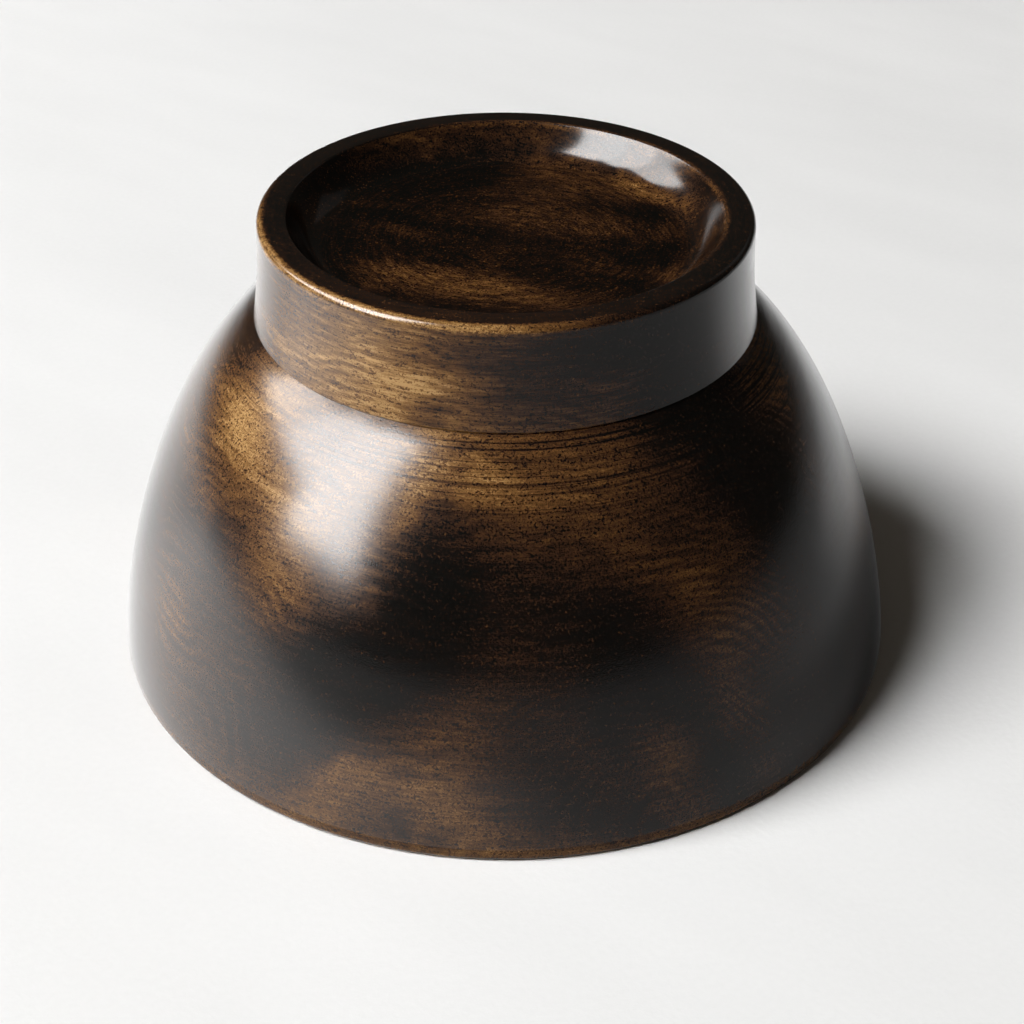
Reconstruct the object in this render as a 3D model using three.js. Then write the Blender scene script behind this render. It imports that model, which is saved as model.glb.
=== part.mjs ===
// A turned wooden bowl in lacquer, standing on its rim with its foot upwards.
import * as THREE from "three";

// Driving dimensions in millimetres, measured over the lacquer.
const RIM_DIAMETER = 121; // outside, at the rim band
const BOWL_HEIGHT = 70; // lip to foot ring
const LIP_THICKNESS = 3.2;
const LIP_RADIUS = 0.8; // rounding of the lip's two edges
const RIM_BAND_RISE = 1.2; // how far the rim coat runs up past the rounding, inside and outside
const BASE_THICKNESS = 9; // inside bottom to recess floor
const FOOT_HEIGHT = 15.4; // root line to foot ring
const FOOT_DIAMETER = 71.6; // outside, at the top of the foot wall
const FOOT_FLARE = 1.2; // how much the foot wall spreads on each side towards its root
const REST_WIDTH = 4.4; // foot wall to recess edge
const REST_OUTER_RADIUS = 1; // rounding of the foot's outer edge
const REST_INNER_RADIUS = 0.5; // rounding of the recess edge
const RECESS_DEPTH = 5.1;
const COVE_WIDTH = 5.4; // recess edge to recess floor
const COAT_THICKNESS = 0.3;
const GLUE_THICKNESS = 0.3;

// The outer wall is one Bezier curve from the rim band to the root line.
const WALL_LEAN = THREE.MathUtils.degToRad(5.4); // wall above the rim band, from upright
const WALL_HANDLE = 7.5;
const SHOULDER_SLOPE = THREE.MathUtils.degToRad(39); // shoulder at the root line, from level
const SHOULDER_HANDLE = 21.9;

// The inside is one Bezier curve from the middle of the bottom to the rim band.
const INSIDE_FLOOR_HANDLE = 34;
const INSIDE_WALL_HANDLE = 24;

// The cove is one Bezier curve from the recess edge to the recess floor.
const COVE_LEAN = THREE.MathUtils.degToRad(35); // cove at the recess edge, from upright
const COVE_EDGE_HANDLE = 2.2;
const COVE_FLOOR_HANDLE = 2.6;

// Straight steps that stand for each round stretch.
const TURN_STEPS = 48;
const INSIDE_STEPS = 8;
const WALL_STEPS = 9;
const FOOT_WALL_STEPS = 3;
const COVE_STEPS = 4;
const EDGE_STEPS = 2;

// Radii and heights that follow from the driving dimensions.
const RIM_RADIUS = RIM_DIAMETER / 2;
const RIM_BAND = LIP_RADIUS + RIM_BAND_RISE;
const LIP_INNER_RADIUS = RIM_RADIUS - LIP_THICKNESS;
const FOOT_RADIUS = FOOT_DIAMETER / 2;
const ROOT_RADIUS = FOOT_RADIUS + FOOT_FLARE;
const ROOT_HEIGHT = BOWL_HEIGHT - FOOT_HEIGHT;
const RECESS_RADIUS = FOOT_RADIUS - REST_WIDTH;
const RECESS_FLOOR = BOWL_HEIGHT - RECESS_DEPTH;
const INSIDE_BOTTOM = RECESS_FLOOR - BASE_THICKNESS;
const BOSS_RADIUS = RECESS_RADIUS - COVE_WIDTH - GLUE_THICKNESS;

// A profile point is a radius and a height.
const point = (radius, height) => new THREE.Vector2(radius, height);

// Quarter round between two profile points, turning about a third, or the first part of it.
function quarterRound(from, to, centre, steps, sweep = Math.PI / 2) {
  const arm = from.clone().sub(centre);
  const rise = to.clone().sub(centre);
  return Array.from({ length: steps + 1 }, (_, i) => {
    const turn = (i / steps) * sweep;
    return centre.clone().addScaledVector(arm, Math.cos(turn)).addScaledVector(rise, Math.sin(turn));
  });
}

// The finished surface in section: stretches that join end to end, from the inside bottom to the recess.
function insideStretch() {
  const curve = new THREE.CubicBezierCurve(
    point(0, INSIDE_BOTTOM),
    point(INSIDE_FLOOR_HANDLE, INSIDE_BOTTOM),
    point(LIP_INNER_RADIUS, RIM_BAND + INSIDE_WALL_HANDLE),
    point(LIP_INNER_RADIUS, RIM_BAND),
  );
  return curve.getPoints(INSIDE_STEPS);
}

function rimStretch() {
  const innerCentre = point(LIP_INNER_RADIUS + LIP_RADIUS, LIP_RADIUS);
  const outerCentre = point(RIM_RADIUS - LIP_RADIUS, LIP_RADIUS);
  return [
    point(LIP_INNER_RADIUS, RIM_BAND),
    ...quarterRound(point(LIP_INNER_RADIUS, LIP_RADIUS), point(innerCentre.x, 0), innerCentre, EDGE_STEPS),
    ...quarterRound(point(outerCentre.x, 0), point(RIM_RADIUS, LIP_RADIUS), outerCentre, EDGE_STEPS),
    point(RIM_RADIUS, RIM_BAND),
  ];
}

function wallStretch() {
  const rim = point(RIM_RADIUS, RIM_BAND);
  const root = point(ROOT_RADIUS, ROOT_HEIGHT);
  const upright = point(-Math.sin(WALL_LEAN), Math.cos(WALL_LEAN));
  const shoulder = point(Math.cos(SHOULDER_SLOPE), -Math.sin(SHOULDER_SLOPE));
  const curve = new THREE.CubicBezierCurve(
    rim,
    rim.clone().addScaledVector(upright, WALL_HANDLE),
    root.clone().addScaledVector(shoulder, SHOULDER_HANDLE),
    root,
  );
  return curve.getPoints(WALL_STEPS);
}

// The foot wall is slightly hollow. Its second point marks the top of the glue line behind the lacquer.
function footWallStretch() {
  const edge = BOWL_HEIGHT - REST_OUTER_RADIUS;
  const glueTop = ROOT_HEIGHT + GLUE_THICKNESS;
  const curve = new THREE.QuadraticBezierCurve(
    point(ROOT_RADIUS, glueTop),
    point(FOOT_RADIUS, (glueTop + edge) / 2),
    point(FOOT_RADIUS, edge),
  );
  return [point(ROOT_RADIUS, ROOT_HEIGHT), ...curve.getPoints(FOOT_WALL_STEPS)];
}

// The rounded edge of the recess, as far as the cove's lean.
function recessEdge() {
  const centre = point(RECESS_RADIUS + REST_INNER_RADIUS, BOWL_HEIGHT - REST_INNER_RADIUS);
  const ends = [point(centre.x, BOWL_HEIGHT), point(RECESS_RADIUS, centre.y)];
  return quarterRound(...ends, centre, EDGE_STEPS, Math.PI / 2 - COVE_LEAN);
}

function restStretch() {
  const outerCentre = point(FOOT_RADIUS - REST_OUTER_RADIUS, BOWL_HEIGHT - REST_OUTER_RADIUS);
  const outerEnds = [point(FOOT_RADIUS, outerCentre.y), point(outerCentre.x, BOWL_HEIGHT)];
  return [...quarterRound(...outerEnds, outerCentre, EDGE_STEPS), ...recessEdge()];
}

// The cove sweeps down from the recess edge to the floor, whose two points bound the boss.
function recessStretch() {
  const edge = recessEdge().at(-1);
  const foot = point(RECESS_RADIUS - COVE_WIDTH, RECESS_FLOOR);
  const down = point(-Math.sin(COVE_LEAN), -Math.cos(COVE_LEAN));
  const cove = new THREE.CubicBezierCurve(
    edge,
    edge.clone().addScaledVector(down, COVE_EDGE_HANDLE),
    point(foot.x + COVE_FLOOR_HANDLE, foot.y),
    foot,
  );
  return [...cove.getPoints(COVE_STEPS), point(BOSS_RADIUS, RECESS_FLOOR), point(0, RECESS_FLOOR)];
}

// All stretches in one chain, with the range of points that each one takes.
const skin = [];
const span = {};
for (const [name, stretch] of Object.entries({
  inside: insideStretch(),
  rim: rimStretch(),
  wall: wallStretch(),
  footWall: footWallStretch(),
  rest: restStretch(),
  recess: recessStretch(),
})) {
  const start = Math.max(skin.length - 1, 0);
  skin.push(...stretch.slice(skin.length ? 1 : 0));
  span[name] = [start, skin.length - 1];
}

// The wood under the lacquer: the same chain set back by the coat, with its corners mitred.
function setBack(chain, depth) {
  const normals = chain.slice(1).map((p, i) => {
    const along = p.clone().sub(chain[i]).normalize();
    return point(-along.y, along.x);
  });
  return chain.map((p, i) => {
    const before = normals[Math.max(i - 1, 0)];
    const after = normals[Math.min(i, normals.length - 1)];
    const mitre = before.clone().add(after).multiplyScalar(depth / (1 + before.dot(after)));
    const moved = p.clone().add(mitre);
    if (p.x === 0) moved.x = 0;
    return moved;
  });
}
const wood = setBack(skin, COAT_THICKNESS);

// A closed section is turned about the bowl's axis. A section that ends on the axis is left open there.
function turned(name, section, material) {
  const closed = section.some((p) => p.x === 0) ? section : [...section, section[0]];
  const geometry = new THREE.LatheGeometry(closed, TURN_STEPS).rotateX(Math.PI / 2);
  const mesh = new THREE.Mesh(geometry, material);
  mesh.name = name;
  return mesh;
}

const finish = (color, roughness) => new THREE.MeshStandardMaterial({ color, roughness, metalness: 0 });
const bareWood = finish(0x9a7038, 0.7);
const glue = finish(0x2a1a10, 0.5);
const brownLacquer = finish(0x3a2412, 0.3);
const footLacquer = finish(0x40301f, 0.35);
const rimLacquer = finish(0x4a2414, 0.35);
const blackLacquer = finish(0x120d09, 0.3);
const recessLacquer = finish(0x2c1a0b, 0.3);

// Corners where the ring, the boss and the seat meet behind the lacquer.
const seat = wood[span.wall[1]];
const ringFoot = wood[span.footWall[0] + 1];
const coveFoot = wood[span.recess[1] - 2];
const bossEdge = wood[span.recess[1] - 1];
const seatAtBoss = point(bossEdge.x, seat.y);
const ringFootAtBore = point(coveFoot.x, ringFoot.y);

function bowlBody() {
  const shell = wood.slice(0, span.wall[1] + 1);
  return turned("bowl_body", [...shell, seatAtBoss, bossEdge, wood[span.recess[1]]], bareWood);
}

function footRing() {
  const outside = wood.slice(span.footWall[0] + 1, span.recess[1] - 1);
  return turned("foot_ring", [...outside, ringFootAtBore], bareWood);
}

function footGlueFilm() {
  return turned("foot_glue_film", [seat, ringFoot, ringFootAtBore, coveFoot, bossEdge, seatAtBoss], glue);
}

// A coat lies between the finished surface and the wood. A section on the axis begins and ends there.
function coat(name, stretch, material) {
  const [first, last] = span[stretch];
  const face = skin.slice(first, last + 1);
  const back = wood.slice(first, last + 1).reverse();
  const section = face[0].x === 0 ? [...face, ...back] : [...back, ...face];
  return turned(name, section, material);
}

const bowl = new THREE.Group();
bowl.name = "lacquer_bowl";
bowl.add(
  bowlBody(),
  footRing(),
  footGlueFilm(),
  coat("inside_coat", "inside", brownLacquer),
  coat("rim_coat", "rim", rimLacquer),
  coat("outside_coat", "wall", brownLacquer),
  coat("foot_wall_coat", "footWall", footLacquer),
  coat("foot_rest_coat", "rest", blackLacquer),
  coat("foot_recess_coat", "recess", recessLacquer),
);

export default bowl;
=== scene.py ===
import math
from collections import namedtuple

import bpy
from mathutils import Matrix, Vector


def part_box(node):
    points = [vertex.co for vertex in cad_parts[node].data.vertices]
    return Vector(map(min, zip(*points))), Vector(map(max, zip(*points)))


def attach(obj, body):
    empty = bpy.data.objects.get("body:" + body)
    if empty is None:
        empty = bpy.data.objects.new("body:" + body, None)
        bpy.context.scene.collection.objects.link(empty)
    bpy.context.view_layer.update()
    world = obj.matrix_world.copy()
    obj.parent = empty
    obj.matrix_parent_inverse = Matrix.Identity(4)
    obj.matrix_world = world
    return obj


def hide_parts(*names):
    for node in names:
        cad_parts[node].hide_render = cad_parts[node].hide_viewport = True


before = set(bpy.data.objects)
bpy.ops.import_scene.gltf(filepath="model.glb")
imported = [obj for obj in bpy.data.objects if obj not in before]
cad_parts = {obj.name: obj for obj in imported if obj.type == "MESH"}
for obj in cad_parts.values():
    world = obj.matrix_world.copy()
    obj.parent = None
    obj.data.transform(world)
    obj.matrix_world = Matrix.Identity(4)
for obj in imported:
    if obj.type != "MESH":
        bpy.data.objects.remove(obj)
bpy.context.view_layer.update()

bl_info = {
    "name": "Turned Lacquer Bowl",
    "version": (1, 0, 0),
    "blender": (4, 5, 0),
    "location": "View3D > Sidebar > Lacquer Bowl",
    "description": "Dresses a turned wooden bowl with its lacquer coats",
    "category": "Object",
}

MM = 0.001

# Radii and heights of the bowl, read from its solids.
RIM_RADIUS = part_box("outside_coat")[1].x
RIM_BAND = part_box("rim_coat")[1].z
ROOT_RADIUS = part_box("foot_wall_coat")[1].x
ROOT_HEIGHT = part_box("outside_coat")[1].z
FOOT_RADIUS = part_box("foot_rest_coat")[1].x
FOOT_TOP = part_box("foot_rest_coat")[1].z

# Steps of the turned coats: round the axis, and along each stretch of the section.
TURN_STEPS = 256
CURVE_STEPS = 48
EDGE_STEPS = 6
COVE_STEPS = 16
SMOOTH_ANGLE = math.radians(35)

# Metres: what counts as nothing, and what merges in a section and where a turn closes.
NOTHING = 1e-9
SECTION_MERGE, SEAM_MERGE = 1e-7, 1e-6


class BowlSizes(bpy.types.PropertyGroup):
    """Shape of the bowl's section"""

    coat: bpy.props.FloatProperty(
        name="Coat", description="Thickness of the lacquer",
        default=0.3 * MM, unit="LENGTH")
    lip: bpy.props.FloatProperty(
        name="Lip", description="Thickness of the lip",
        default=3.2 * MM, unit="LENGTH")
    lip_round: bpy.props.FloatProperty(
        name="Lip rounding", description="Radius of the lip's two edges",
        default=0.8 * MM, unit="LENGTH")
    wall_lean: bpy.props.FloatProperty(
        name="Wall lean", description="Lean of the wall above the rim band, from upright",
        default=math.radians(5.4), subtype="ANGLE")
    wall_handle: bpy.props.FloatProperty(
        name="Wall handle", description="Length of the wall curve's lower handle",
        default=7.5 * MM, unit="LENGTH")
    shoulder_slope: bpy.props.FloatProperty(
        name="Shoulder slope", description="Slope of the shoulder at the root line, from level",
        default=math.radians(39), subtype="ANGLE")
    shoulder_handle: bpy.props.FloatProperty(
        name="Shoulder handle", description="Length of the wall curve's upper handle",
        default=21.9 * MM, unit="LENGTH")
    inside_bottom: bpy.props.FloatProperty(
        name="Inside bottom", description="Height of the inside bottom over the lip",
        default=55.9 * MM, unit="LENGTH")
    floor_handle: bpy.props.FloatProperty(
        name="Inside floor handle", description="Length of the inside curve's upper handle",
        default=34 * MM, unit="LENGTH")
    inside_handle: bpy.props.FloatProperty(
        name="Inside wall handle", description="Length of the inside curve's lower handle",
        default=24 * MM, unit="LENGTH")
    glue_line: bpy.props.FloatProperty(
        name="Glue line", description="Upright start of the foot wall over the root",
        default=0.3 * MM, unit="LENGTH")
    root_groove: bpy.props.FloatProperty(
        name="Root groove", description="Depth of the fine groove at the foot's root",
        default=0.16 * MM, unit="LENGTH")
    rest_width: bpy.props.FloatProperty(
        name="Rest width", description="Width of the ring that the bowl stands on",
        default=4.4 * MM, unit="LENGTH")
    rest_outer_round: bpy.props.FloatProperty(
        name="Outer rounding", description="Radius of the foot's outer edge",
        default=1.0 * MM, unit="LENGTH")
    rest_inner_round: bpy.props.FloatProperty(
        name="Inner rounding", description="Radius of the recess edge",
        default=0.5 * MM, unit="LENGTH")
    recess_depth: bpy.props.FloatProperty(
        name="Recess depth", description="Depth of the recess under the foot",
        default=5.1 * MM, unit="LENGTH")
    cove_width: bpy.props.FloatProperty(
        name="Cove width", description="Width of the cove round the recess floor",
        default=5.4 * MM, unit="LENGTH")
    cove_lean: bpy.props.FloatProperty(
        name="Cove lean", description="Lean of the cove at the recess edge, from upright",
        default=math.radians(35), subtype="ANGLE")
    cove_edge_handle: bpy.props.FloatProperty(
        name="Cove edge handle", description="Length of the cove curve's upper handle",
        default=2.2 * MM, unit="LENGTH")
    cove_floor_handle: bpy.props.FloatProperty(
        name="Cove floor handle", description="Length of the cove curve's lower handle",
        default=2.6 * MM, unit="LENGTH")


class LacquerTones(bpy.types.PropertyGroup):
    """Colours of the wiped lacquer, from the thickest film to bare wood"""

    black: bpy.props.FloatVectorProperty(
        name="Black", description="Thick lacquer",
        default=(0.0034, 0.0032, 0.0027), size=3, min=0, max=1, subtype="COLOR")
    umber: bpy.props.FloatVectorProperty(
        name="Umber", description="Lacquer that lets a little wood through",
        default=(0.013, 0.0062, 0.0038), size=3, min=0, max=1, subtype="COLOR")
    brown: bpy.props.FloatVectorProperty(
        name="Brown", description="Half wiped lacquer",
        default=(0.040, 0.017, 0.0070), size=3, min=0, max=1, subtype="COLOR")
    amber: bpy.props.FloatVectorProperty(
        name="Amber", description="Thin lacquer",
        default=(0.105, 0.046, 0.0135), size=3, min=0, max=1, subtype="COLOR")
    gold: bpy.props.FloatVectorProperty(
        name="Gold", description="Wiped lacquer over pale wood",
        default=(0.215, 0.108, 0.032), size=3, min=0, max=1, subtype="COLOR")
    straw: bpy.props.FloatVectorProperty(
        name="Straw", description="Rubbed wood at edges",
        default=(0.46, 0.27, 0.105), size=3, min=0, max=1, subtype="COLOR")


class StageSettings(bpy.types.PropertyGroup):
    """Paper, window light and camera"""

    paper: bpy.props.FloatVectorProperty(
        name="Paper", description="Colour of the paper under the bowl",
        default=(0.84, 0.84, 0.835), size=3, min=0, max=1, subtype="COLOR")
    window_power: bpy.props.FloatProperty(
        name="Window power", description="Power of the window light in watts",
        default=41.5, min=0)
    glint_power: bpy.props.FloatProperty(
        name="Glint power", description="Power of the window that the lacquer mirrors, in watts",
        default=303.0, min=0)
    side_power: bpy.props.FloatProperty(
        name="Side power", description="Power of the next window along, in watts",
        default=117.0, min=0)
    curtain_power: bpy.props.FloatProperty(
        name="Curtain power", description="Power of the curtained side of that window, in watts",
        default=72.5, min=0)
    back_power: bpy.props.FloatProperty(
        name="Back power",
        description="Power of the dim wall behind that the recess mirrors, in watts",
        default=0.22, min=0)
    room_tone: bpy.props.FloatVectorProperty(
        name="Room tone", description="Colour of the dim room",
        default=(1.0, 0.87, 0.72), size=3, min=0, max=1, subtype="COLOR")
    room_level: bpy.props.FloatProperty(
        name="Room level", description="Brightness of the dim room",
        default=0.042, min=0)
    focal_length: bpy.props.FloatProperty(
        name="Focal length", description="Camera focal length in millimetres",
        default=70.3125, min=1)


# The section of the bowl, as points of radius and height.

def bezier(controls, steps):
    """Points along the Bezier curve of these control points."""
    points = []
    for step in range(steps + 1):
        t = step / steps
        row = [Vector(c) for c in controls]
        while len(row) > 1:
            row = [a.lerp(b, t) for a, b in zip(row, row[1:])]
        points.append(row[0])
    return points


def quarter_round(start, end, centre, steps, sweep=math.pi / 2):
    """Quarter of an ellipse from start to end about its centre, or the first part of it."""
    arm, rise = Vector(start) - Vector(centre), Vector(end) - Vector(centre)
    turns = [step / steps * sweep for step in range(steps + 1)]
    return [Vector(centre) + arm * math.cos(t) + rise * math.sin(t) for t in turns]


def inside_stretch(sizes):
    lip_inside = RIM_RADIUS - sizes.lip
    return bezier([
        (0, sizes.inside_bottom),
        (sizes.floor_handle, sizes.inside_bottom),
        (lip_inside, RIM_BAND + sizes.inside_handle),
        (lip_inside, RIM_BAND),
    ], CURVE_STEPS)


def rim_stretch(sizes):
    lip_inside, edge = RIM_RADIUS - sizes.lip, sizes.lip_round
    inner, outer = (lip_inside + edge, edge), (RIM_RADIUS - edge, edge)
    return [
        Vector((lip_inside, RIM_BAND)),
        *quarter_round((lip_inside, edge), (inner[0], 0), inner, EDGE_STEPS),
        *quarter_round((outer[0], 0), (RIM_RADIUS, edge), outer, EDGE_STEPS),
        Vector((RIM_RADIUS, RIM_BAND)),
    ]


def wall_stretch(sizes):
    lean, slope = sizes.wall_lean, sizes.shoulder_slope
    rim, root = Vector((RIM_RADIUS, RIM_BAND)), Vector((ROOT_RADIUS, ROOT_HEIGHT))
    upright = Vector((-math.sin(lean), math.cos(lean)))
    shoulder = Vector((math.cos(slope), -math.sin(slope)))
    return bezier([
        rim,
        rim + upright * sizes.wall_handle,
        root + shoulder * sizes.shoulder_handle,
        root,
    ], CURVE_STEPS)


def foot_wall_stretch(sizes):
    start, edge = ROOT_HEIGHT + sizes.glue_line, FOOT_TOP - sizes.rest_outer_round
    hollow = bezier([
        (ROOT_RADIUS, start),
        (FOOT_RADIUS, (start + edge) / 2),
        (FOOT_RADIUS, edge),
    ], CURVE_STEPS // 2)
    return [Vector((ROOT_RADIUS, ROOT_HEIGHT)), *hollow]


def rest_stretch(sizes):
    outer_round = sizes.rest_outer_round
    outer = (FOOT_RADIUS - outer_round, FOOT_TOP - outer_round)
    return [
        *quarter_round((FOOT_RADIUS, outer[1]), (outer[0], FOOT_TOP), outer, EDGE_STEPS),
        *recess_edge(sizes),
    ]


def recess_edge(sizes):
    """The rounded edge of the recess, as far as the cove's lean."""
    recess, edge = FOOT_RADIUS - sizes.rest_width, sizes.rest_inner_round
    centre = (recess + edge, FOOT_TOP - edge)
    top, side = (centre[0], FOOT_TOP), (recess, centre[1])
    return quarter_round(top, side, centre, EDGE_STEPS, math.pi / 2 - sizes.cove_lean)


def recess_stretch(sizes):
    edge, floor = recess_edge(sizes)[-1], FOOT_TOP - sizes.recess_depth
    foot = Vector((FOOT_RADIUS - sizes.rest_width - sizes.cove_width, floor))
    down = Vector((-math.sin(sizes.cove_lean), -math.cos(sizes.cove_lean)))
    cove = bezier([
        edge,
        edge + down * sizes.cove_edge_handle,
        foot + Vector((sizes.cove_floor_handle, 0)),
        foot,
    ], COVE_STEPS)
    shares = [1 - step / COVE_STEPS for step in range(1, COVE_STEPS + 1)]
    return [*cove, *(Vector((foot[0] * share, floor)) for share in shares)]


def set_back(chain, depth):
    """The chain moved into the bowl by depth, with its corners mitred."""
    sides = [(b - a).normalized() for a, b in zip(chain, chain[1:])]
    normals = [Vector((-side.y, side.x)) for side in sides]
    moved = []
    for i, spot in enumerate(chain):
        before, after = normals[max(i - 1, 0)], normals[min(i, len(normals) - 1)]
        inner = spot + (before + after) * (depth / (1 + before.dot(after)))
        moved.append(Vector((0, inner.y)) if spot.x < NOTHING else inner)
    return moved


def coat_sections(sizes):
    """The closed section of each coat, by the name of the solid that it stands for."""
    stretches = {
        "inside_coat": inside_stretch(sizes),
        "rim_coat": rim_stretch(sizes),
        "outside_coat": wall_stretch(sizes),
        "foot_wall_coat": foot_wall_stretch(sizes),
        "foot_rest_coat": rest_stretch(sizes),
        "foot_recess_coat": recess_stretch(sizes),
    }
    skin, spans = [], {}
    for name, stretch in stretches.items():
        first = max(len(skin) - 1, 0)
        skin.extend(stretch[1:] if skin else stretch)
        spans[name] = (first, len(skin))
    wood = set_back(skin, sizes.coat)
    sections = {}
    for name, (first, last) in spans.items():
        face, back = list(skin[first:last]), list(reversed(wood[first:last]))
        if name == "outside_coat":
            face[-1] = groove_bottom(sizes)
        if name == "foot_wall_coat":
            face[0] = groove_bottom(sizes)
        sections[name] = face + back
    return sections


def groove_bottom(sizes):
    return Vector((ROOT_RADIUS - sizes.root_groove, ROOT_HEIGHT))


def turn_coat(name, section):
    """Turns a closed section about the bowl's axis and returns the coat."""
    bpy.ops.object.select_all(action="DESELECT")
    bpy.ops.mesh.primitive_plane_add(size=MM, location=(0, 0, 0))
    coat = bpy.context.object
    coat.name = coat.data.name = name + "_finish"
    bpy.ops.object.mode_set(mode="EDIT")
    bpy.ops.mesh.select_all(action="SELECT")
    bpy.ops.mesh.merge(type="CENTER")
    spots = [Vector((radius, 0, height)) for radius, height in section]
    bpy.ops.transform.translate(value=spots[0])
    on_axis = min(spots[0].x, spots[len(spots) // 2].x) < NOTHING
    for here, there in zip(spots, spots[1:] if on_axis else spots[1:] + spots[:1]):
        if (there - here).length > NOTHING:
            bpy.ops.mesh.extrude_region_move(TRANSFORM_OT_translate={"value": there - here})
    bpy.ops.mesh.select_all(action="SELECT")
    bpy.ops.mesh.remove_doubles(threshold=SECTION_MERGE)
    bpy.ops.mesh.spin(steps=TURN_STEPS, angle=2 * math.pi, center=(0, 0, 0), axis=(0, 0, 1))
    bpy.ops.mesh.select_all(action="SELECT")
    bpy.ops.mesh.remove_doubles(threshold=SEAM_MERGE)
    bpy.ops.mesh.normals_make_consistent(inside=False)
    bpy.ops.object.mode_set(mode="OBJECT")
    bpy.ops.object.shade_smooth_by_angle(angle=SMOOTH_ANGLE)
    return coat


def lay_coat(sections, node, material):
    """Turns a coat, gives it its material and puts it in the place of its solid."""
    coat = turn_coat(node, sections[node])
    coat.data.materials.append(material)
    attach(coat, "root")
    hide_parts(node)


# Short ways to place and join shader nodes.

class Bench:
    """A node tree, with short ways to add its nodes."""

    def __init__(self, tree):
        self.tree = tree

    def put(self, kind, wires, out=0, **settings):
        """Adds a node, joins or sets its sockets and returns one of its outputs."""
        node = self.tree.nodes.new(kind)
        for name, value in settings.items():
            setattr(node, name, value)
        for socket, value in wires.items():
            self.join(node.inputs[socket], value)
        return node.outputs[out]

    def join(self, socket, value):
        if isinstance(value, bpy.types.NodeSocket):
            self.tree.links.new(value, socket)
        else:
            socket.default_value = value

    def calc(self, operation, *values):
        return self.put("ShaderNodeMath", dict(enumerate(values)), operation=operation)

    def vector(self, operation, *values, out=0):
        return self.put("ShaderNodeVectorMath", dict(enumerate(values)), out, operation=operation)

    def scale(self, vector, factor):
        return self.put("ShaderNodeVectorMath", {0: vector, "Scale": factor}, operation="SCALE")

    def turn(self, vector, angle):
        """Turns a vector about the upright axis."""
        wires = {"Vector": vector, "Angle": angle}
        return self.put("ShaderNodeVectorRotate", wires, rotation_type="Z_AXIS")

    def point(self, x, y, z=0.0):
        return self.put("ShaderNodeCombineXYZ", {0: x, 1: y, 2: z})

    def blend(self, factor, a, b):
        return self.put("ShaderNodeMix", {0: factor, 2: a, 3: b}, 0, data_type="FLOAT")

    def spread(self, value, low, high, to_low=0.0, to_high=1.0):
        """Smoothly maps a value from one range to another and holds it there."""
        wires = {0: value, 1: low, 2: high, 3: to_low, 4: to_high}
        return self.put("ShaderNodeMapRange", wires, interpolation_type="SMOOTHSTEP")

    def noise(self, place, scale, detail=2.0, rough=0.5, out=0):
        wires = {"Vector": place, "Scale": scale, "Detail": detail, "Roughness": rough}
        return self.put("ShaderNodeTexNoise", wires, out)

    def group(self, name, out=0, **wires):
        node = self.tree.nodes.new("ShaderNodeGroup")
        node.node_tree = bpy.data.node_groups[name]
        for label, value in wires.items():
            self.join(node.inputs[label.replace("_", " ")], value)
        return node.outputs if out is None else node.outputs[out]


def new_group(name, inputs, outputs):
    """A shader node group with named sockets: its bench, what comes in and what goes out."""
    tree = bpy.data.node_groups.new(name, "ShaderNodeTree")
    for direction, sockets in (("INPUT", inputs), ("OUTPUT", outputs)):
        for label, kind in sockets.items():
            tree.interface.new_socket(label, in_out=direction, socket_type="NodeSocket" + kind)
    entry, leave = tree.nodes.new("NodeGroupInput"), tree.nodes.new("NodeGroupOutput")
    return Bench(tree), entry.outputs, leave.inputs


# Effects that the lacquer coats share.

HALF = (0.5, 0.5, 0.5)  # the middle of a noise's colour
STREAK_RADIUS = 40.0  # millimetres, where streaks run at their true length


def make_turned_place():
    """Where a point of the bowl is, in millimetres and degrees round the axis."""
    outputs = {
        "Place": "Vector",
        "Around": "Float",
        "Radius": "Float",
        "Height": "Float",
        "Streak": "Vector",
    }
    bench, _, leave = new_group("Turned place", {}, outputs)
    place = bench.scale(bench.put("ShaderNodeTexCoord", {}, "Object"), 1 / MM)
    split = bench.tree.nodes.new("ShaderNodeSeparateXYZ")
    bench.join(split.inputs[0], place)
    x, y, z = split.outputs
    flat = bench.vector("MULTIPLY", place, (1, 1, 0))
    radius = bench.vector("LENGTH", flat, out=1)
    around = bench.calc("ARCTAN2", x, bench.calc("MULTIPLY", y, -1.0))
    along = bench.scale(bench.vector("NORMALIZE", flat), STREAK_RADIUS)
    across = bench.point(0.0, 0.0, bench.calc("SUBTRACT", z, radius))
    bench.join(leave["Place"], place)
    bench.join(leave["Around"], bench.calc("DEGREES", around))
    bench.join(leave["Radius"], radius)
    bench.join(leave["Height"], z)
    bench.join(leave["Streak"], bench.vector("ADD", along, across))


def make_soft_patch():
    """A soft-edged oval on the surface."""
    inputs = {
        "Place": "Vector",
        "Centre": "Vector",
        "Half size": "Vector",
        "Turn": "Float",
        "Softness": "Float",
    }
    bench, entry, leave = new_group("Soft patch", inputs, {"Mask": "Float"})
    off = bench.vector("SUBTRACT", entry["Place"], entry["Centre"])
    off = bench.vector("WRAP", off, (180, 180, 180), (-180, -180, -180))
    turned = bench.turn(off, entry["Turn"])
    share = bench.vector("LENGTH", bench.vector("DIVIDE", turned, entry["Half size"]), out=1)
    inner = bench.calc("SUBTRACT", 1.0, entry["Softness"])
    outer = bench.calc("ADD", 1.0, entry["Softness"])
    bench.join(leave["Mask"], bench.spread(share, inner, outer, 1.0, 0.0))


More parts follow.
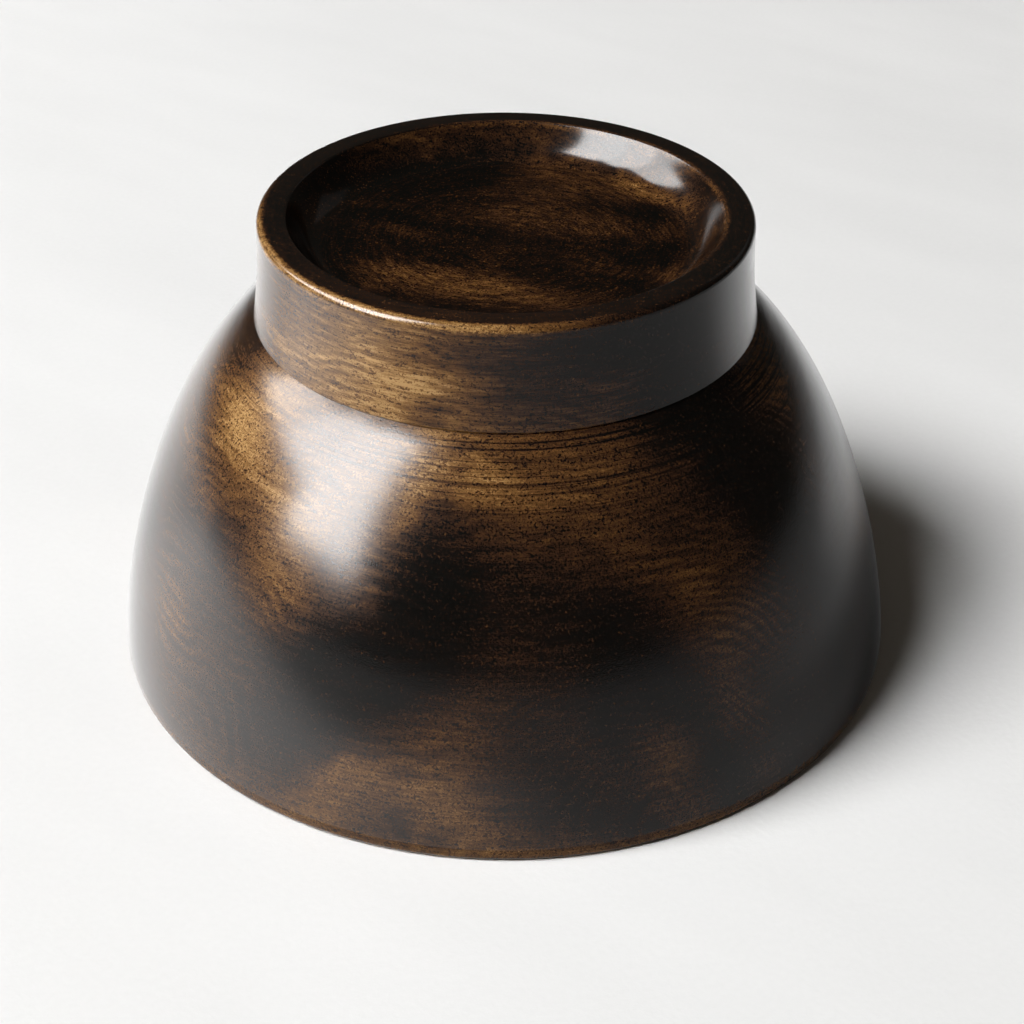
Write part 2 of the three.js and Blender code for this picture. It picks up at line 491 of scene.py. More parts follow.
def make_rubbed_edge():
    """A band along a turned edge, where the lacquer is rubbed thin."""
    inputs = {"Edge radius": "Float", "Edge height": "Float", "Width": "Float"}
    bench, entry, leave = new_group("Rubbed edge", inputs, {"Mask": "Float"})
    place = bench.group("Turned place", None)
    off = bench.point(
        bench.calc("SUBTRACT", place["Radius"], entry["Edge radius"]),
        bench.calc("SUBTRACT", place["Height"], entry["Edge height"]),
    )
    ragged = bench.noise(place["Place"], 1.3, 3.0)
    distance = bench.vector("LENGTH", off, out=1)
    width = bench.calc("MULTIPLY", entry["Width"], bench.calc("ADD", ragged, 0.5))
    share = bench.calc("DIVIDE", distance, width)
    bench.join(leave["Mask"], bench.spread(share, 0.35, 1.0, 1.0, 0.0))


def make_lathe_streaks():
    """Fine streaks that run round the bowl."""
    inputs = {"Length": "Float", "Width": "Float"}
    bench, entry, leave = new_group("Lathe streaks", inputs, {"Value": "Float"})
    place = bench.group("Turned place", None)
    size = bench.point(entry["Length"], entry["Length"], entry["Width"])
    streak = bench.vector("DIVIDE", place["Streak"], size)
    bench.join(leave["Value"], bench.noise(streak, 1.0, 3.0, 0.6))


# The tree's heart line, about which the growth rings lie, and the rings, in millimetres.
HEART_PLACE = (0.0, -46.0, 2.0)
HEART_TURN = math.radians(-24)
HEART_SWAY = 14.0
RING_SPACING = 1.7


def make_growth_rings():
    """Growth rings of side-grain wood, as lines round the tree's heart."""
    bench, _, leave = new_group("Growth rings", {}, {"Value": "Float"})
    place = bench.group("Turned place", None)
    sway = bench.vector("SUBTRACT", bench.noise(place["Place"], 0.05, 2.0, out=1), HALF)
    swayed = bench.vector("ADD", place["Place"], bench.scale(sway, HEART_SWAY))
    off = bench.turn(bench.vector("SUBTRACT", swayed, HEART_PLACE), -HEART_TURN)
    distance = bench.vector("LENGTH", bench.vector("MULTIPLY", off, (0.04, 1, 1)), out=1)
    rings = bench.calc("SINE", bench.calc("MULTIPLY", distance, 2 * math.pi / RING_SPACING))
    fade = bench.spread(bench.noise(place["Place"], 0.09, 2.0), 0.35, 0.65)
    bench.join(leave["Value"], bench.calc("MULTIPLY", rings, fade))


FIBRE_SIZE = (2.0, 0.36, 0.36)  # millimetres along and across the fibres


def make_wood_fibre():
    """Short dashes along the tree's fibres, which are dots where the fibres end."""
    bench, _, leave = new_group("Wood fibre", {}, {"Value": "Float"})
    place = bench.group("Turned place", None)
    fibre = bench.vector("DIVIDE", bench.turn(place["Place"], -HEART_TURN), FIBRE_SIZE)
    bench.join(leave["Value"], bench.noise(fibre, 1.0, 2.0, 0.6))


# Roughness of thick and of thin lacquer.
GLOSS_THICK, GLOSS_THIN = 0.155, 0.205

# Marks in the film, to the millimetre, and the level at which the film counts as thin.
SPECK_SCALE, PINHOLE_SCALE, DENT_SCALE = 3.0, 2.7, 5.0
THIN_LEVEL = 0.35


def make_lacquer_film(tones):
    """Wiped lacquer over wood: the level says how much wood shows, from 0 to 1."""
    inputs = dict.fromkeys(("Level", "Fibre", "Streaks", "Specks", "Rings"), "Float")
    outputs = {"Color": "Color", "Roughness": "Float", "Height": "Float"}
    bench, entry, leave = new_group("Lacquer film", inputs, outputs)
    place = bench.group("Turned place", None)
    coarse = bench.group("Lathe streaks", Length=9.0, Width=0.8)
    fine = bench.group("Lathe streaks", Length=3.0, Width=0.25)
    streaks = bench.calc("SUBTRACT", bench.blend(0.5, coarse, fine), 0.5)
    specks = bench.calc("SUBTRACT", bench.noise(place["Place"], SPECK_SCALE, 2.0, 0.75), 0.5)
    elsewhere = bench.vector("ADD", place["Place"], (7, 3, 5))
    pinholes = bench.spread(bench.noise(elsewhere, PINHOLE_SCALE, 2.0, 0.7), 0.54, 0.74)
    fibre = bench.calc("SUBTRACT", bench.group("Wood fibre"), 0.5)
    pores = bench.spread(bench.calc("ADD", specks, fibre), 0.0, 0.24, 0.06, -0.44)
    rings = bench.group("Growth rings")
    marks = pores
    patterns = {"Streaks": streaks, "Specks": specks, "Fibre": fibre, "Rings": rings}
    for name, pattern in patterns.items():
        marks = bench.calc("MULTIPLY_ADD", entry[name], pattern, marks)
    base = bench.calc("MAXIMUM", bench.calc("SUBTRACT", entry["Level"], 0.03), -0.03)
    shown = bench.spread(base, 0.0, THIN_LEVEL, 0.80, 1.0)
    pricked = bench.spread(base, 0.0, THIN_LEVEL, 0.50, 0.08)
    marks = bench.calc("MULTIPLY_ADD", pinholes, pricked, marks)
    level = bench.calc("MULTIPLY_ADD", shown, marks, base)
    node = bench.tree.nodes.new("ShaderNodeValToRGB")
    bench.join(node.inputs[0], level)
    stops = (tones.black, tones.umber, tones.brown, tones.amber, tones.gold, tones.straw)
    ramp = node.color_ramp
    for share in range(1, len(stops) - 1):
        ramp.elements.new(share / (len(stops) - 1))
    for element, tone in zip(ramp.elements, stops):
        element.color = (*tone, 1)
    bench.join(leave["Color"], node.outputs[0])
    rough = bench.spread(entry["Level"], -0.1, 0.5, GLOSS_THICK, GLOSS_THIN)
    rough = bench.calc("MULTIPLY_ADD", streaks, 0.10, rough)
    bench.join(leave["Roughness"], bench.calc("MULTIPLY_ADD", specks, 0.06, rough))
    dents = bench.noise(place["Place"], DENT_SCALE, 0.0)
    relief = bench.calc("MULTIPLY_ADD", rings, 0.12, bench.calc("MULTIPLY", streaks, 0.8))
    bench.join(leave["Height"], bench.calc("ADD", dents, relief))


def make_shared_effects(tones):
    make_turned_place()
    make_soft_patch()
    make_rubbed_edge()
    make_lathe_streaks()
    make_growth_rings()
    make_wood_fibre()
    make_lacquer_film(tones)


# Clouds of thick and thin lacquer: soft ovals that each change the film's level.
Patch = namedtuple("Patch", "across up half_across half_up turn change")
PATCH_SOFTNESS = 0.75

# On the wall: degrees round from the front, millimetres over the lip.
WALL_BASE = 0.10
WALL_PATCHES = [
    Patch(-52, 50, 34, 9.4, -4, 0.54),
    Patch(6, 51, 32, 8.2, 14, 0.27),
    Patch(-16, 1, 18, 12.2, -57, 0.66),
    Patch(-57, 16, 46, 17.0, 36, 0.31),
    Patch(-35, 37, 11, 8.6, 5, 0.47),
    Patch(36, 33, 15, 10.7, 41, 0.50),
    Patch(70, 58, 14, 17.2, 71, 0.31),
    Patch(44, 45, 22, 14.5, 102, -0.32),
    Patch(-17, 32, 9, 13.0, 65, -0.33),
    Patch(80, 28, 7, 12.4, 78, 0.36),
    Patch(24, 10, 4, 11.7, -22, 0.37),
    Patch(0, 24, 15, 6.8, -16, 0.09),
    Patch(-14, 42, 8, 3.3, -61, -0.21),
    Patch(20, 27, 9, 7.8, 74, -0.19),
    Patch(-18, 41, 6, 10.3, 19, 0.47),
    Patch(-29, 13, 17, 5.7, -7, -0.19),
    Patch(36, 12, 4, 10.9, -23, 0.23),
    Patch(-5, 36, 7, 12.7, 5, 0.10),
    Patch(-51, 46, 11, 3.5, 11, 0.15),
    Patch(-18, 4, 10, 5.4, 4, -0.46),
    Patch(-3, 49, 9, 2.4, 6, 0.20),
    Patch(-33, 53, 13, 7.6, 9, -0.14),
    Patch(8, 0, 12, 4.8, 14, 0.26),
    Patch(-23, 8, 7, 3.9, -46, 0.27),
    Patch(58, 23, 5, 10.2, 21, -0.06),
    Patch(-77, 25, 6, 4.0, -15, -0.17),
    Patch(-73, 55, 10, 5.4, 9, -0.25),
    Patch(13, 13, 9, 3.2, 45, 0.11),
    Patch(30, 9, 9, 4.7, -11, -0.16),
    Patch(-68, 44, 13, 3.2, 6, -0.19),
    Patch(-56, 38, 6, 2.5, -17, 0.10),
    Patch(65, 37, 9, 6.1, 20, 0.17),
    Patch(-59, 21, 5, 4.3, -24, 0.11),
    Patch(28, 42, 4, 8.6, 121, -0.21),
    Patch(-26, 48, 4, 2.5, -17, 0.15),
    Patch(-57, 47, 15, 8.0, 0, 0.14),
    Patch(-42, 48, 9, 5.0, 0, -0.12),
    Patch(10, 46, 16, 6.0, 0, 0.07),
    Patch(-34, 33, 10, 5.0, 0, 0.10),
    Patch(32, 36, 10, 5.0, 0, 0.06),
]

# On the foot wall: degrees round from the front, millimetres over the lip.
FOOT_WALL_BASE = 0.48
FOOT_WALL_PATCHES = [
    Patch(-17, 44.5, 31.6, 14.4, 56, 0.34),
    Patch(-50, 39.5, 19.0, 14.1, 85, 0.29),
    Patch(39, 65.3, 32.3, 8.3, 1, -0.47),
    Patch(-7, 61.2, 18.6, 4.4, 9, -0.12),
    Patch(-13, 61.3, 11.0, 2.1, -3, 0.21),
    Patch(24, 60.3, 7.4, 1.5, 1, 0.17),
    Patch(47, 50.3, 16.4, 6.1, 7, -0.47),
    Patch(-16, 56.4, 5.6, 2.4, -22, -0.17),
    Patch(73, 67.6, 12.5, 1.5, 15, -0.40),
    Patch(-58, 59.3, 18.4, 1.4, -4, 0.14),
    # The last patch lightens the foot wall's front left, the side toward the window; part of that
    # lift is painted sheen.
    Patch(-38, 61.0, 24.0, 8.0, 0, 0.12),
]

# In the recess: millimetres from the axis to the right and away from the front.
RECESS_BASE = 0.09
RECESS_PATCHES = [
    Patch(13, 22.6, 6.6, 40.4, 114, 0.28),
    Patch(-6, -14.1, 17.5, 4.0, 19, 0.40),
    Patch(11, 5.6, 18.3, 4.1, 6, 0.23),
    Patch(4, 13.6, 7.6, 4.6, 167, 0.19),
    Patch(31, -14.7, 21.3, 2.6, 21, 0.25),
    Patch(-10, 22.3, 10.9, 4.3, -21, -0.42),
    Patch(36, 7.9, 2.8, 19.2, 32, 0.22),
    Patch(-25, -10.8, 3.2, 14.0, -1, -0.18),
    Patch(-18, 24.8, 6.7, 3.4, -33, 0.32),
    Patch(19, -7.4, 3.1, 5.8, 30, -0.15),
    Patch(21, 9.1, 2.8, 5.7, 13, -0.19),
    Patch(24, 11.6, 1.9, 5.6, -29, 0.12),
    Patch(20.5, 15.8, 7.5, 1.5, 48, 0.25),
    Patch(-2, -5.6, 4.3, 2.5, -69, 0.13),
    Patch(-15, 3.2, 6.2, 1.9, 23, 0.18),
    Patch(-15, 6.4, 7.6, 2.5, 23, -0.15),
    Patch(-4, 3.3, 4.8, 2.0, 29, -0.09),
]


def paint(bench, level, place, patches):
    """Lays the patches over a level."""
    for patch in patches:
        mask = bench.group(
            "Soft patch", Place=place, Centre=(patch.across, patch.up, 0),
            Half_size=(patch.half_across, patch.half_up, 1),
            Turn=math.radians(patch.turn), Softness=PATCH_SOFTNESS)
        level = bench.calc("MULTIPLY_ADD", mask, patch.change, level)
    return level


# The lacquer's relief, and the clear coat that a material may have.
RELIEF_STRENGTH, RELIEF_DEPTH = 0.4, 0.02 * MM
CLEAR_COAT_IOR, CLEAR_COAT_ROUGHNESS = 1.35, 0.14


def lacquer_material(name, level_of, fibre=1.4, specks=2.1, streaks=0.7, rings=0.05,
                     specular=0.28, coat_of=None):
    """A lacquer material whose level, and clear coat if any, come from functions of its place."""
    material = bpy.data.materials.new(name)
    material.use_nodes = True
    bench = Bench(material.node_tree)
    place = bench.group("Turned place", None)
    film = bench.group(
        "Lacquer film", None, Level=level_of(bench, place),
        Fibre=fibre, Streaks=streaks, Specks=specks, Rings=rings)
    shader = material.node_tree.nodes["Principled BSDF"]
    shader.inputs["Specular IOR Level"].default_value = specular
    bench.join(shader.inputs["Base Color"], film["Color"])
    bench.join(shader.inputs["Roughness"], film["Roughness"])
    if coat_of:
        bench.join(shader.inputs["Coat Weight"], coat_of(bench, place))
        shader.inputs["Coat IOR"].default_value = CLEAR_COAT_IOR
        shader.inputs["Coat Roughness"].default_value = CLEAR_COAT_ROUGHNESS
    relief = {"Strength": RELIEF_STRENGTH, "Distance": RELIEF_DEPTH, "Height": film["Height"]}
    bench.join(shader.inputs["Normal"], bench.put("ShaderNodeBump", relief))
    return material


def warped(bench, place, first, second, reach):
    """A place on the surface whose two measures waver, so that painted clouds are ragged."""
    sway = bench.vector("SUBTRACT", bench.noise(place["Place"], 0.11, 3.0, 0.6, out=1), HALF)
    sway = bench.vector("MULTIPLY", sway, (*reach, 0))
    return bench.vector("ADD", bench.point(first, second), sway)


CLOUD_SIZE = (26, 26, 15)  # millimetres
CLOUD_THICK, CLOUD_THIN = -0.10, 0.62  # levels


def clouds(bench, place):
    """Clouds of the same kind all round the bowl."""
    cloud = bench.noise(bench.vector("DIVIDE", place["Streak"], CLOUD_SIZE), 1.0, 3.0, 0.55)
    return bench.spread(cloud, 0.30, 0.72, CLOUD_THICK, CLOUD_THIN)


FRONT_END, BACK_START = 80.0, 110.0  # degrees round from the front


def front_or_clouds(bench, place, level):
    """The level in front, and clouds behind."""
    behind = bench.spread(bench.calc("ABSOLUTE", place["Around"]), FRONT_END, BACK_START)
    return bench.blend(behind, level, clouds(bench, place))


# Levels of the film where it is rubbed thin.
RUBBED_RIM, RUBBED_FOOT, RUBBED_RECESS = 0.62, 0.86, 0.6

# Turned lines on the shoulder: from which height in millimetres they show, and their levels.
LINES_START, LINES_FULL = 44.0, 52.0
ON_LINES, BETWEEN_LINES = -0.34, 0.14


def wall_level(bench, place):
    spot = warped(bench, place, place["Around"], place["Height"], reach=(8, 6))
    level = paint(bench, front_or_clouds(bench, place, WALL_BASE), spot, WALL_PATCHES)
    lines = bench.spread(bench.group("Lathe streaks", Length=70.0, Width=0.5), 0.50, 0.62)
    shoulder = bench.spread(place["Height"], LINES_START, LINES_FULL, 0.1, 1.0)
    fainter_left = bench.spread(place["Around"], -50.0, -20.0, 0.35, 1.0)
    shoulder = bench.calc("MULTIPLY", shoulder, fainter_left)
    lines = bench.calc("MULTIPLY_ADD", lines, ON_LINES, BETWEEN_LINES)
    level = bench.calc("MULTIPLY_ADD", lines, shoulder, level)
    edge = bench.group("Rubbed edge", Edge_radius=RIM_RADIUS / MM, Edge_height=0.8, Width=2.2)
    return bench.blend(bench.calc("MULTIPLY", edge, 0.7), level, RUBBED_RIM)


def foot_wall_level(bench, place):
    spot = warped(bench, place, place["Around"], place["Height"], reach=(8, 3))
    level = paint(bench, front_or_clouds(bench, place, FOOT_WALL_BASE), spot, FOOT_WALL_PATCHES)
    return rub_foot_edges(bench, place, level)


def one_side(bench, place, centre, half, softness):
    """Mask of one side of the bowl, in degrees round from the front."""
    return bench.group(
        "Soft patch", Place=bench.point(place["Around"], 0.0), Centre=(centre, 0, 0),
        Half_size=(half, 1, 1), Turn=0.0, Softness=softness)


def rub_foot_edges(bench, place, level):
    edge = bench.group(
        "Rubbed edge", Edge_radius=FOOT_RADIUS / MM - 0.3, Edge_height=FOOT_TOP / MM - 0.3,
        Width=1.2)
    front_left = one_side(bench, place, centre=-42, half=57, softness=0.4)
    return bench.blend(bench.calc("MULTIPLY", edge, front_left), level, RUBBED_FOOT)


def rub_recess_edge(bench, place, level):
    edge = bench.group(
        "Rubbed edge", Edge_radius=FOOT_RADIUS / MM - 4.3, Edge_height=FOOT_TOP / MM - 0.1,
        Width=0.9)
    back_right = one_side(bench, place, centre=130, half=68, softness=0.3)
    rubbed = bench.calc("MULTIPLY", edge, back_right)
    return bench.blend(bench.calc("MULTIPLY", rubbed, 0.7), level, RUBBED_RECESS)


def rest_level(bench, place):
    front = one_side(bench, place, centre=-15, half=45, softness=0.8)
    level = bench.calc("MULTIPLY_ADD", front, 0.18, 0.04)
    level = rub_recess_edge(bench, place, level)
    return rub_foot_edges(bench, place, level)


def recess_level(bench, place):
    split = bench.tree.nodes.new("ShaderNodeSeparateXYZ")
    bench.join(split.inputs[0], place["Place"])
    spot = warped(bench, place, split.outputs[0], split.outputs[1], reach=(4, 4))
    level = paint(bench, RECESS_BASE, spot, RECESS_PATCHES)
    return rub_recess_edge(bench, place, level)


# Clear coat in the recess: millimetres from the axis over which it thickens, and its weights.
COVE_START, COVE_FULL = 26.0, 27.4
FLOOR_COAT, COVE_COAT = 0.05, 0.8


def recess_coat(bench, place):
    return bench.spread(place["Radius"], COVE_START, COVE_FULL, FLOOR_COAT, COVE_COAT)


def bare_wood_material():
    material = bpy.data.materials.new("bare_wood")
    material.use_nodes = True
    bench = Bench(material.node_tree)
    rings = bench.group("Growth rings")
    fibre = bench.group("Lathe streaks", Length=9.0, Width=0.4)
    shade = bench.calc("MULTIPLY_ADD", rings, 0.25, fibre)
    node = bench.tree.nodes.new("ShaderNodeValToRGB")
    bench.join(node.inputs[0], shade)
    node.color_ramp.elements[0].color = (0.20, 0.11, 0.045, 1)
    node.color_ramp.elements[1].color = (0.46, 0.29, 0.13, 1)
    shader = material.node_tree.nodes["Principled BSDF"]
    bench.join(shader.inputs["Base Color"], node.outputs[0])
    shader.inputs["Roughness"].default_value = 0.7
    return material


def glue_material():
    material = bpy.data.materials.new("glue")
    material.use_nodes = True
    bench = Bench(material.node_tree)
    place = bench.group("Turned place", None)
    node = bench.tree.nodes.new("ShaderNodeValToRGB")
    bench.join(node.inputs[0], bench.noise(place["Place"], 0.6, 3.0))
    node.color_ramp.elements[0].color = (0.020, 0.012, 0.007, 1)
    node.color_ramp.elements[1].color = (0.075, 0.045, 0.022, 1)
    shader = material.node_tree.nodes["Principled BSDF"]
    bench.join(shader.inputs["Base Color"], node.outputs[0])
    shader.inputs["Roughness"].default_value = 0.5
    return material


class BOWL_OT_effects(bpy.types.Operator):
    """Makes the node groups that the lacquer coats share"""

    bl_idname = "bowl.make_effects"
    bl_label = "Lacquer Effects"

    def execute(self, context):
        make_shared_effects(context.scene.lacquer_tones)
        return {"FINISHED"}


class BOWL_OT_outside(bpy.types.Operator):
    """Turns the outside coat and the rim coat"""

    bl_idname = "bowl.turn_outside"
    bl_label = "Outside and Rim"

    def execute(self, context):
        sections = coat_sections(context.scene.bowl_sizes)
        wall = lacquer_material("outside_lacquer", wall_level, rings=0.08)
        rim = lacquer_material("rim_lacquer", wall_level, specular=0.1)
        lay_coat(sections, "outside_coat", wall)
        lay_coat(sections, "rim_coat", rim)
        return {"FINISHED"}


class BOWL_OT_inside(bpy.types.Operator):
    """Turns the inside coat"""

    bl_idname = "bowl.turn_inside"
    bl_label = "Inside"

    def execute(self, context):
        sections = coat_sections(context.scene.bowl_sizes)
        inside = lacquer_material("inside_lacquer", clouds)
        lay_coat(sections, "inside_coat", inside)
        return {"FINISHED"}


class BOWL_OT_foot(bpy.types.Operator):
    """Turns the three coats of the foot"""

    bl_idname = "bowl.turn_foot"
    bl_label = "Foot"

    def execute(self, context):
        sections = coat_sections(context.scene.bowl_sizes)
        wall = lacquer_material(
            "foot_wall_lacquer", foot_wall_level, fibre=0.5, specks=0.5, streaks=1.2, rings=0.1)
        rest = lacquer_material("foot_rest_lacquer", rest_level)
        recess = lacquer_material(
            "foot_recess_lacquer", recess_level, streaks=1.4, specular=0.0, coat_of=recess_coat)
        lay_coat(sections, "foot_wall_coat", wall)
        lay_coat(sections, "foot_rest_coat", rest)
        lay_coat(sections, "foot_recess_coat", recess)
        return {"FINISHED"}


class BOWL_OT_wood(bpy.types.Operator):
    """Finishes the wood and the glue film under the lacquer"""

    bl_idname = "bowl.finish_wood"
    bl_label = "Wood and Glue"

    def execute(self, context):
        wood, glue = bare_wood_material(), glue_material()
        for node, material in (("bowl_body", wood), ("foot_ring", wood), ("foot_glue_film", glue)):
            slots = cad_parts[node].data.materials
            slots.clear()
            slots.append(material)
        return {"FINISHED"}


FLOOR_SIZE = 8.0

# Lamps: where each one hangs, which way it faces and its size in metres.
# Gloss alone sees the lamps marked so, and all but gloss sees the others.
LIGHT_DISTANCE, GLINT_DISTANCE = 1.8, 2.0
Lamp = namedtuple("Lamp", "name place facing width height power gloss")


def lamps(settings):
    def toward(around, rise=0.0):
        """Which way lies so many degrees round from the front, and up."""
        around, rise = math.radians(around), math.radians(rise)
        level = math.cos(rise)
        return Vector((math.sin(around) * level, -math.cos(around) * level, math.sin(rise)))

    sky, window, side, up = toward(-71, 53.4), toward(-60), toward(-97), Vector((0, 0, 1))
    along_window, along_side, back = toward(30), toward(-7), toward(140, 32)
    return [
        Lamp("window_light", sky * LIGHT_DISTANCE, -sky, 0.86, 0.55, settings.window_power, False),
        Lamp("window_glint", window * GLINT_DISTANCE - along_window * 0.0465 + up * 1.97, -window,
             0.979, 2.96, settings.glint_power, True),
        Lamp("side_glint", side * GLINT_DISTANCE + along_side * 0.4915 + up * 1.941, -side,
             0.633, 2.018, settings.side_power, True),
        Lamp("curtain_glint", side * GLINT_DISTANCE - along_side * 0.2965 + up * 1.566, -side,
             0.943, 1.268, settings.curtain_power, True),
        Lamp("back_glint", back * GLINT_DISTANCE, -back, 0.8, 0.7, settings.back_power, True),
    ]


CAMERA_PLACE = (1.134 * MM, -262.57 * MM, 193.82 * MM)
CAMERA_TILT, CAMERA_ROLL = math.radians(56.11), math.radians(0.37)
SENSOR_WIDTH = 36.0  # millimetres
CLIP_START = 10 * MM

# Painted reflections: spots of paper that glow for gloss rays alone, so the lacquer mirrors them
# brighter than the lamps light them; where they lie in centimetres, and how bright they glow.
PaintedReflectionSpot = namedtuple("PaintedReflectionSpot", "centre half_size turn softness level")
PAINTED_REFLECTION_GLOWS = [
    PaintedReflectionSpot((-19.5, -3.1), (16.3, 6.6), -0.258, 0.5, 1.95),
    PaintedReflectionSpot((-26, 10), (24, 18), 0.0, 0.6, 1.3),
    PaintedReflectionSpot((-4.8, -7.0), (4.5, 2.8), -0.6, 0.8, 0.8),
    PaintedReflectionSpot((15.3, 13.2), (8.8, 9.8), 0.0, 0.4, 0.62),
]

# Painted reflection shade: gloss sees the paper at this share of its own brightness, and darker
# still in the shade spot.
PAINTED_REFLECTION_LEVEL = 0.7
PAINTED_REFLECTION_SHADE = PaintedReflectionSpot((7.2, 0.8), (2.6, 4.6), 0.0, 0.7, 0.46)


def painted_reflection_spot(bench, spot, glow):
    """Mask of one soft spot on the paper, where gloss sees painted glow or painted shade."""
    return bench.group(
        "Soft patch", Place=spot, Centre=(*glow.centre, 0), Half_size=(*glow.half_size, 1),
        Turn=-glow.turn, Softness=glow.softness)


CENTIMETRES = 100.0  # in a metre

# The paper's fibres and the painted shade of its folds, to the metre, and the folds' turn.
PAPER_FIBRE = 900.0
FOLD_SHADE_SCALE, FOLD_SHADE_TURN = (9, 26, 0), 0.6

# Over which distance in metres the paper turns pale to the camera, and how pale.
FAR_START, FAR_END, FAR_LIGHT = 0.12, 1.4, 0.75


def paper_material(settings):
    """White paper with the painted shade of faint folds, and painted glowing and shaded spots that
    only gloss sees.
    """
    material = bpy.data.materials.new("paper")
    material.use_nodes = True
    bench = Bench(material.node_tree)
    place = bench.put("ShaderNodeTexCoord", {}, "Object")
    fibre = bench.noise(place, PAPER_FIBRE, 4.0, 0.6)
    gloss = bench.put("ShaderNodeLightPath", {}, "Is Glossy Ray")
    shader = material.node_tree.nodes["Principled BSDF"]
    along = bench.turn(place, FOLD_SHADE_TURN)
    painted_fold_shade = bench.noise(bench.vector("MULTIPLY", along, FOLD_SHADE_SCALE), 1.0, 3.0, 0.55)
    # Painted shade of folds: they lighten and darken the paper's colour while its surface stays
    # flat.
    light = bench.calc("MULTIPLY_ADD", painted_fold_shade, 0.13, bench.calc("MULTIPLY_ADD", fibre, 0.05, 0.91))
    spot = bench.scale(place, CENTIMETRES)
    # Painted shade in reflections: gloss rays see the paper dimmed, most of all in the shade spot.
    shade = painted_reflection_spot(bench, spot, PAINTED_REFLECTION_SHADE)
    painted_reflection_dimming = bench.calc("MULTIPLY_ADD", shade, -PAINTED_REFLECTION_SHADE.level, PAINTED_REFLECTION_LEVEL)
    light = bench.calc("MULTIPLY", light, bench.blend(gloss, 1.0, painted_reflection_dimming))
    bench.join(shader.inputs["Base Color"], bench.scale(settings.paper, light))
    shader.inputs["Roughness"].default_value = 0.9
    shader.inputs["Specular IOR Level"].default_value = 0.1
    bump = bench.put("ShaderNodeBump", {"Strength": 0.2, "Distance": 0.2 * MM, "Height": fibre})
    bench.join(shader.inputs["Normal"], bump)
    # Painted reflections: these spots glow for gloss rays alone.
    painted_reflection_glow = 0.0
    for glow in PAINTED_REFLECTION_GLOWS:
        painted_reflection_glow = bench.calc("MULTIPLY_ADD", painted_reflection_spot(bench, spot, glow), glow.level, painted_reflection_glow)
    # To the camera the paper turns pale far off; to gloss it glows in the painted spots.
    seen = bench.put("ShaderNodeLightPath", {}, "Is Camera Ray")
    distance = bench.vector("LENGTH", place, out=1)
    far = bench.spread(distance, FAR_START, FAR_END, 0.0, FAR_LIGHT)
    glow = bench.calc("MULTIPLY_ADD", far, seen, bench.calc("MULTIPLY", painted_reflection_glow, gloss))
    bench.join(shader.inputs["Emission Color"], glow)
    shader.inputs["Emission Strength"].default_value = 1.0
    return material


def dim_room(settings):
    """A dim room, which the camera sees as pale as the paper."""
    world = bpy.data.worlds.new("dim_room")
    world.use_nodes = True
    bench = Bench(world.node_tree)
    seen = bench.put("ShaderNodeLightPath", {}, "Is Camera Ray")
    room = tuple(tone * settings.room_level for tone in settings.room_tone)
    wires = {0: seen, 6: (*room, 1), 7: (*settings.paper, 1)}
    tone = bench.put("ShaderNodeMix", wires, 2, data_type="RGBA")
    background = world.node_tree.nodes["Background"]
    bench.join(background.inputs["Color"], tone)
    background.inputs["Strength"].default_value = 1.0
    return world


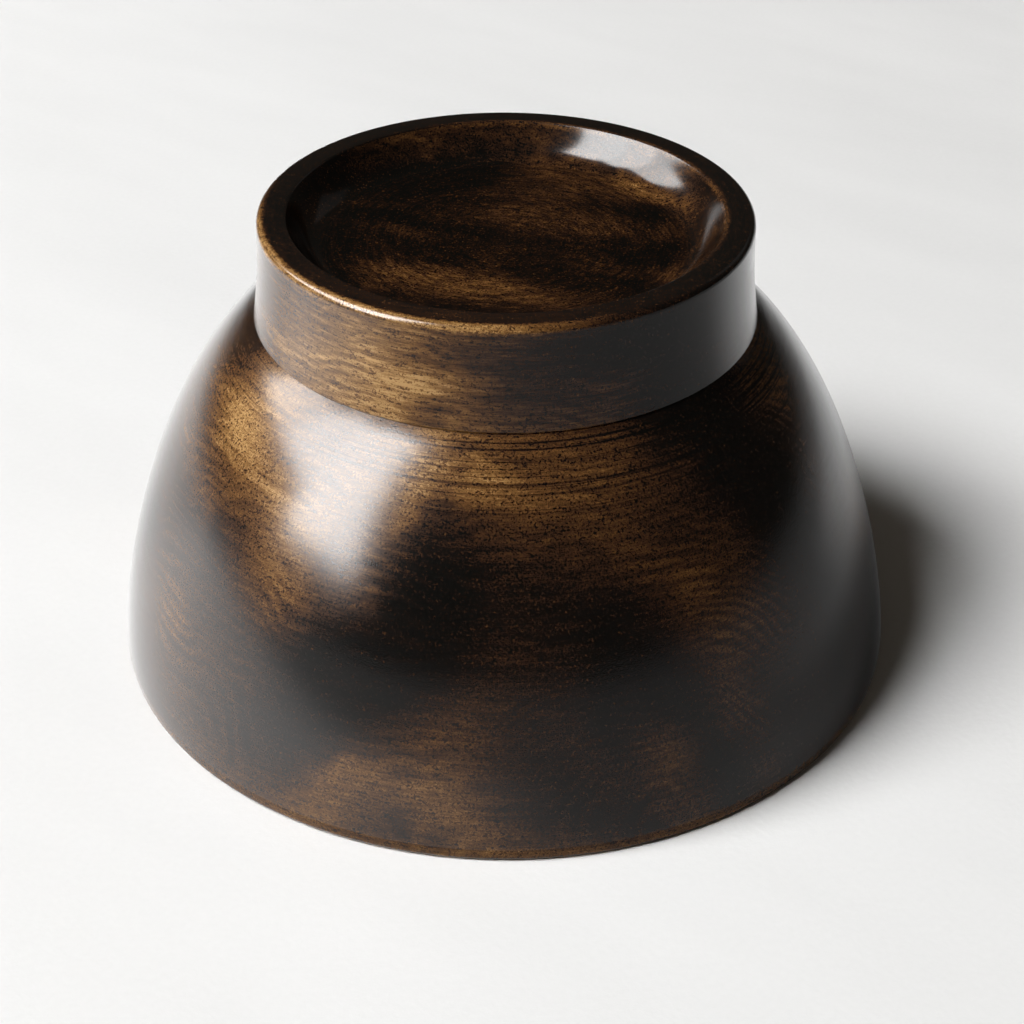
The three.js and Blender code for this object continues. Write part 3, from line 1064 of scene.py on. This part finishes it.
class BOWL_OT_stage(bpy.types.Operator):
    """Lays the paper, hangs the window light and sets the camera"""

    bl_idname = "bowl.set_stage"
    bl_label = "Stage"

    def execute(self, context):
        scene, settings = context.scene, context.scene.bowl_stage
        bpy.ops.object.select_all(action="DESELECT")
        bpy.ops.mesh.primitive_plane_add(size=FLOOR_SIZE)
        floor = context.object
        floor.name = "paper_floor"
        floor.data.materials.append(paper_material(settings))

        for lamp in lamps(settings):
            bpy.ops.object.light_add(type="AREA", location=lamp.place)
            light = context.object
            light.name = lamp.name
            light.rotation_euler = lamp.facing.to_track_quat("-Z", "Y").to_euler()
            light.data.shape = "RECTANGLE"
            light.data.size, light.data.size_y = lamp.width, lamp.height
            light.data.energy = lamp.power
            light.data.cycles.use_multiple_importance_sampling = lamp.gloss
            light.visible_glossy = lamp.gloss
            light.visible_diffuse = not lamp.gloss

        scene.world = dim_room(settings)

        bpy.ops.object.camera_add(location=CAMERA_PLACE)
        camera = context.object
        camera.rotation_euler = (
            Matrix.Rotation(CAMERA_TILT, 3, "X") @ Matrix.Rotation(CAMERA_ROLL, 3, "Z")).to_euler()
        camera.data.lens = settings.focal_length
        camera.data.sensor_width = SENSOR_WIDTH
        camera.data.clip_start = CLIP_START
        scene.camera = camera
        scene.view_settings.view_transform = "Standard"
        return {"FINISHED"}


class BOWL_PT_panel(bpy.types.Panel):
    """Lists the bowl's pieces"""

    bl_idname = "BOWL_PT_panel"
    bl_label = "Lacquer Bowl"
    bl_space_type = "VIEW_3D"
    bl_region_type = "UI"
    bl_category = "Lacquer Bowl"

    def draw(self, context):
        scene, column = context.scene, self.layout.column()
        for operator in OPERATORS:
            column.operator(operator.bl_idname)
        for group in (scene.bowl_sizes, scene.lacquer_tones, scene.bowl_stage):
            box = self.layout.box()
            for name in group.bl_rna.properties.keys():
                if name not in ("rna_type", "name"):
                    box.prop(group, name)


OPERATORS = (
    BOWL_OT_effects,
    BOWL_OT_outside,
    BOWL_OT_inside,
    BOWL_OT_foot,
    BOWL_OT_wood,
    BOWL_OT_stage,
)
CLASSES = (BowlSizes, LacquerTones, StageSettings, *OPERATORS, BOWL_PT_panel)


def register():
    for cls in CLASSES:
        bpy.utils.register_class(cls)
    bpy.types.Scene.bowl_sizes = bpy.props.PointerProperty(type=BowlSizes)
    bpy.types.Scene.lacquer_tones = bpy.props.PointerProperty(type=LacquerTones)
    bpy.types.Scene.bowl_stage = bpy.props.PointerProperty(type=StageSettings)


def unregister():
    del bpy.types.Scene.bowl_stage
    del bpy.types.Scene.lacquer_tones
    del bpy.types.Scene.bowl_sizes
    for cls in reversed(CLASSES):
        bpy.utils.unregister_class(cls)


def main():
    register()
    bpy.ops.bowl.make_effects()
    bpy.ops.bowl.turn_outside()
    bpy.ops.bowl.turn_inside()
    bpy.ops.bowl.turn_foot()
    bpy.ops.bowl.finish_wood()
    bpy.ops.bowl.set_stage()


if __name__ == "__main__":
    main()
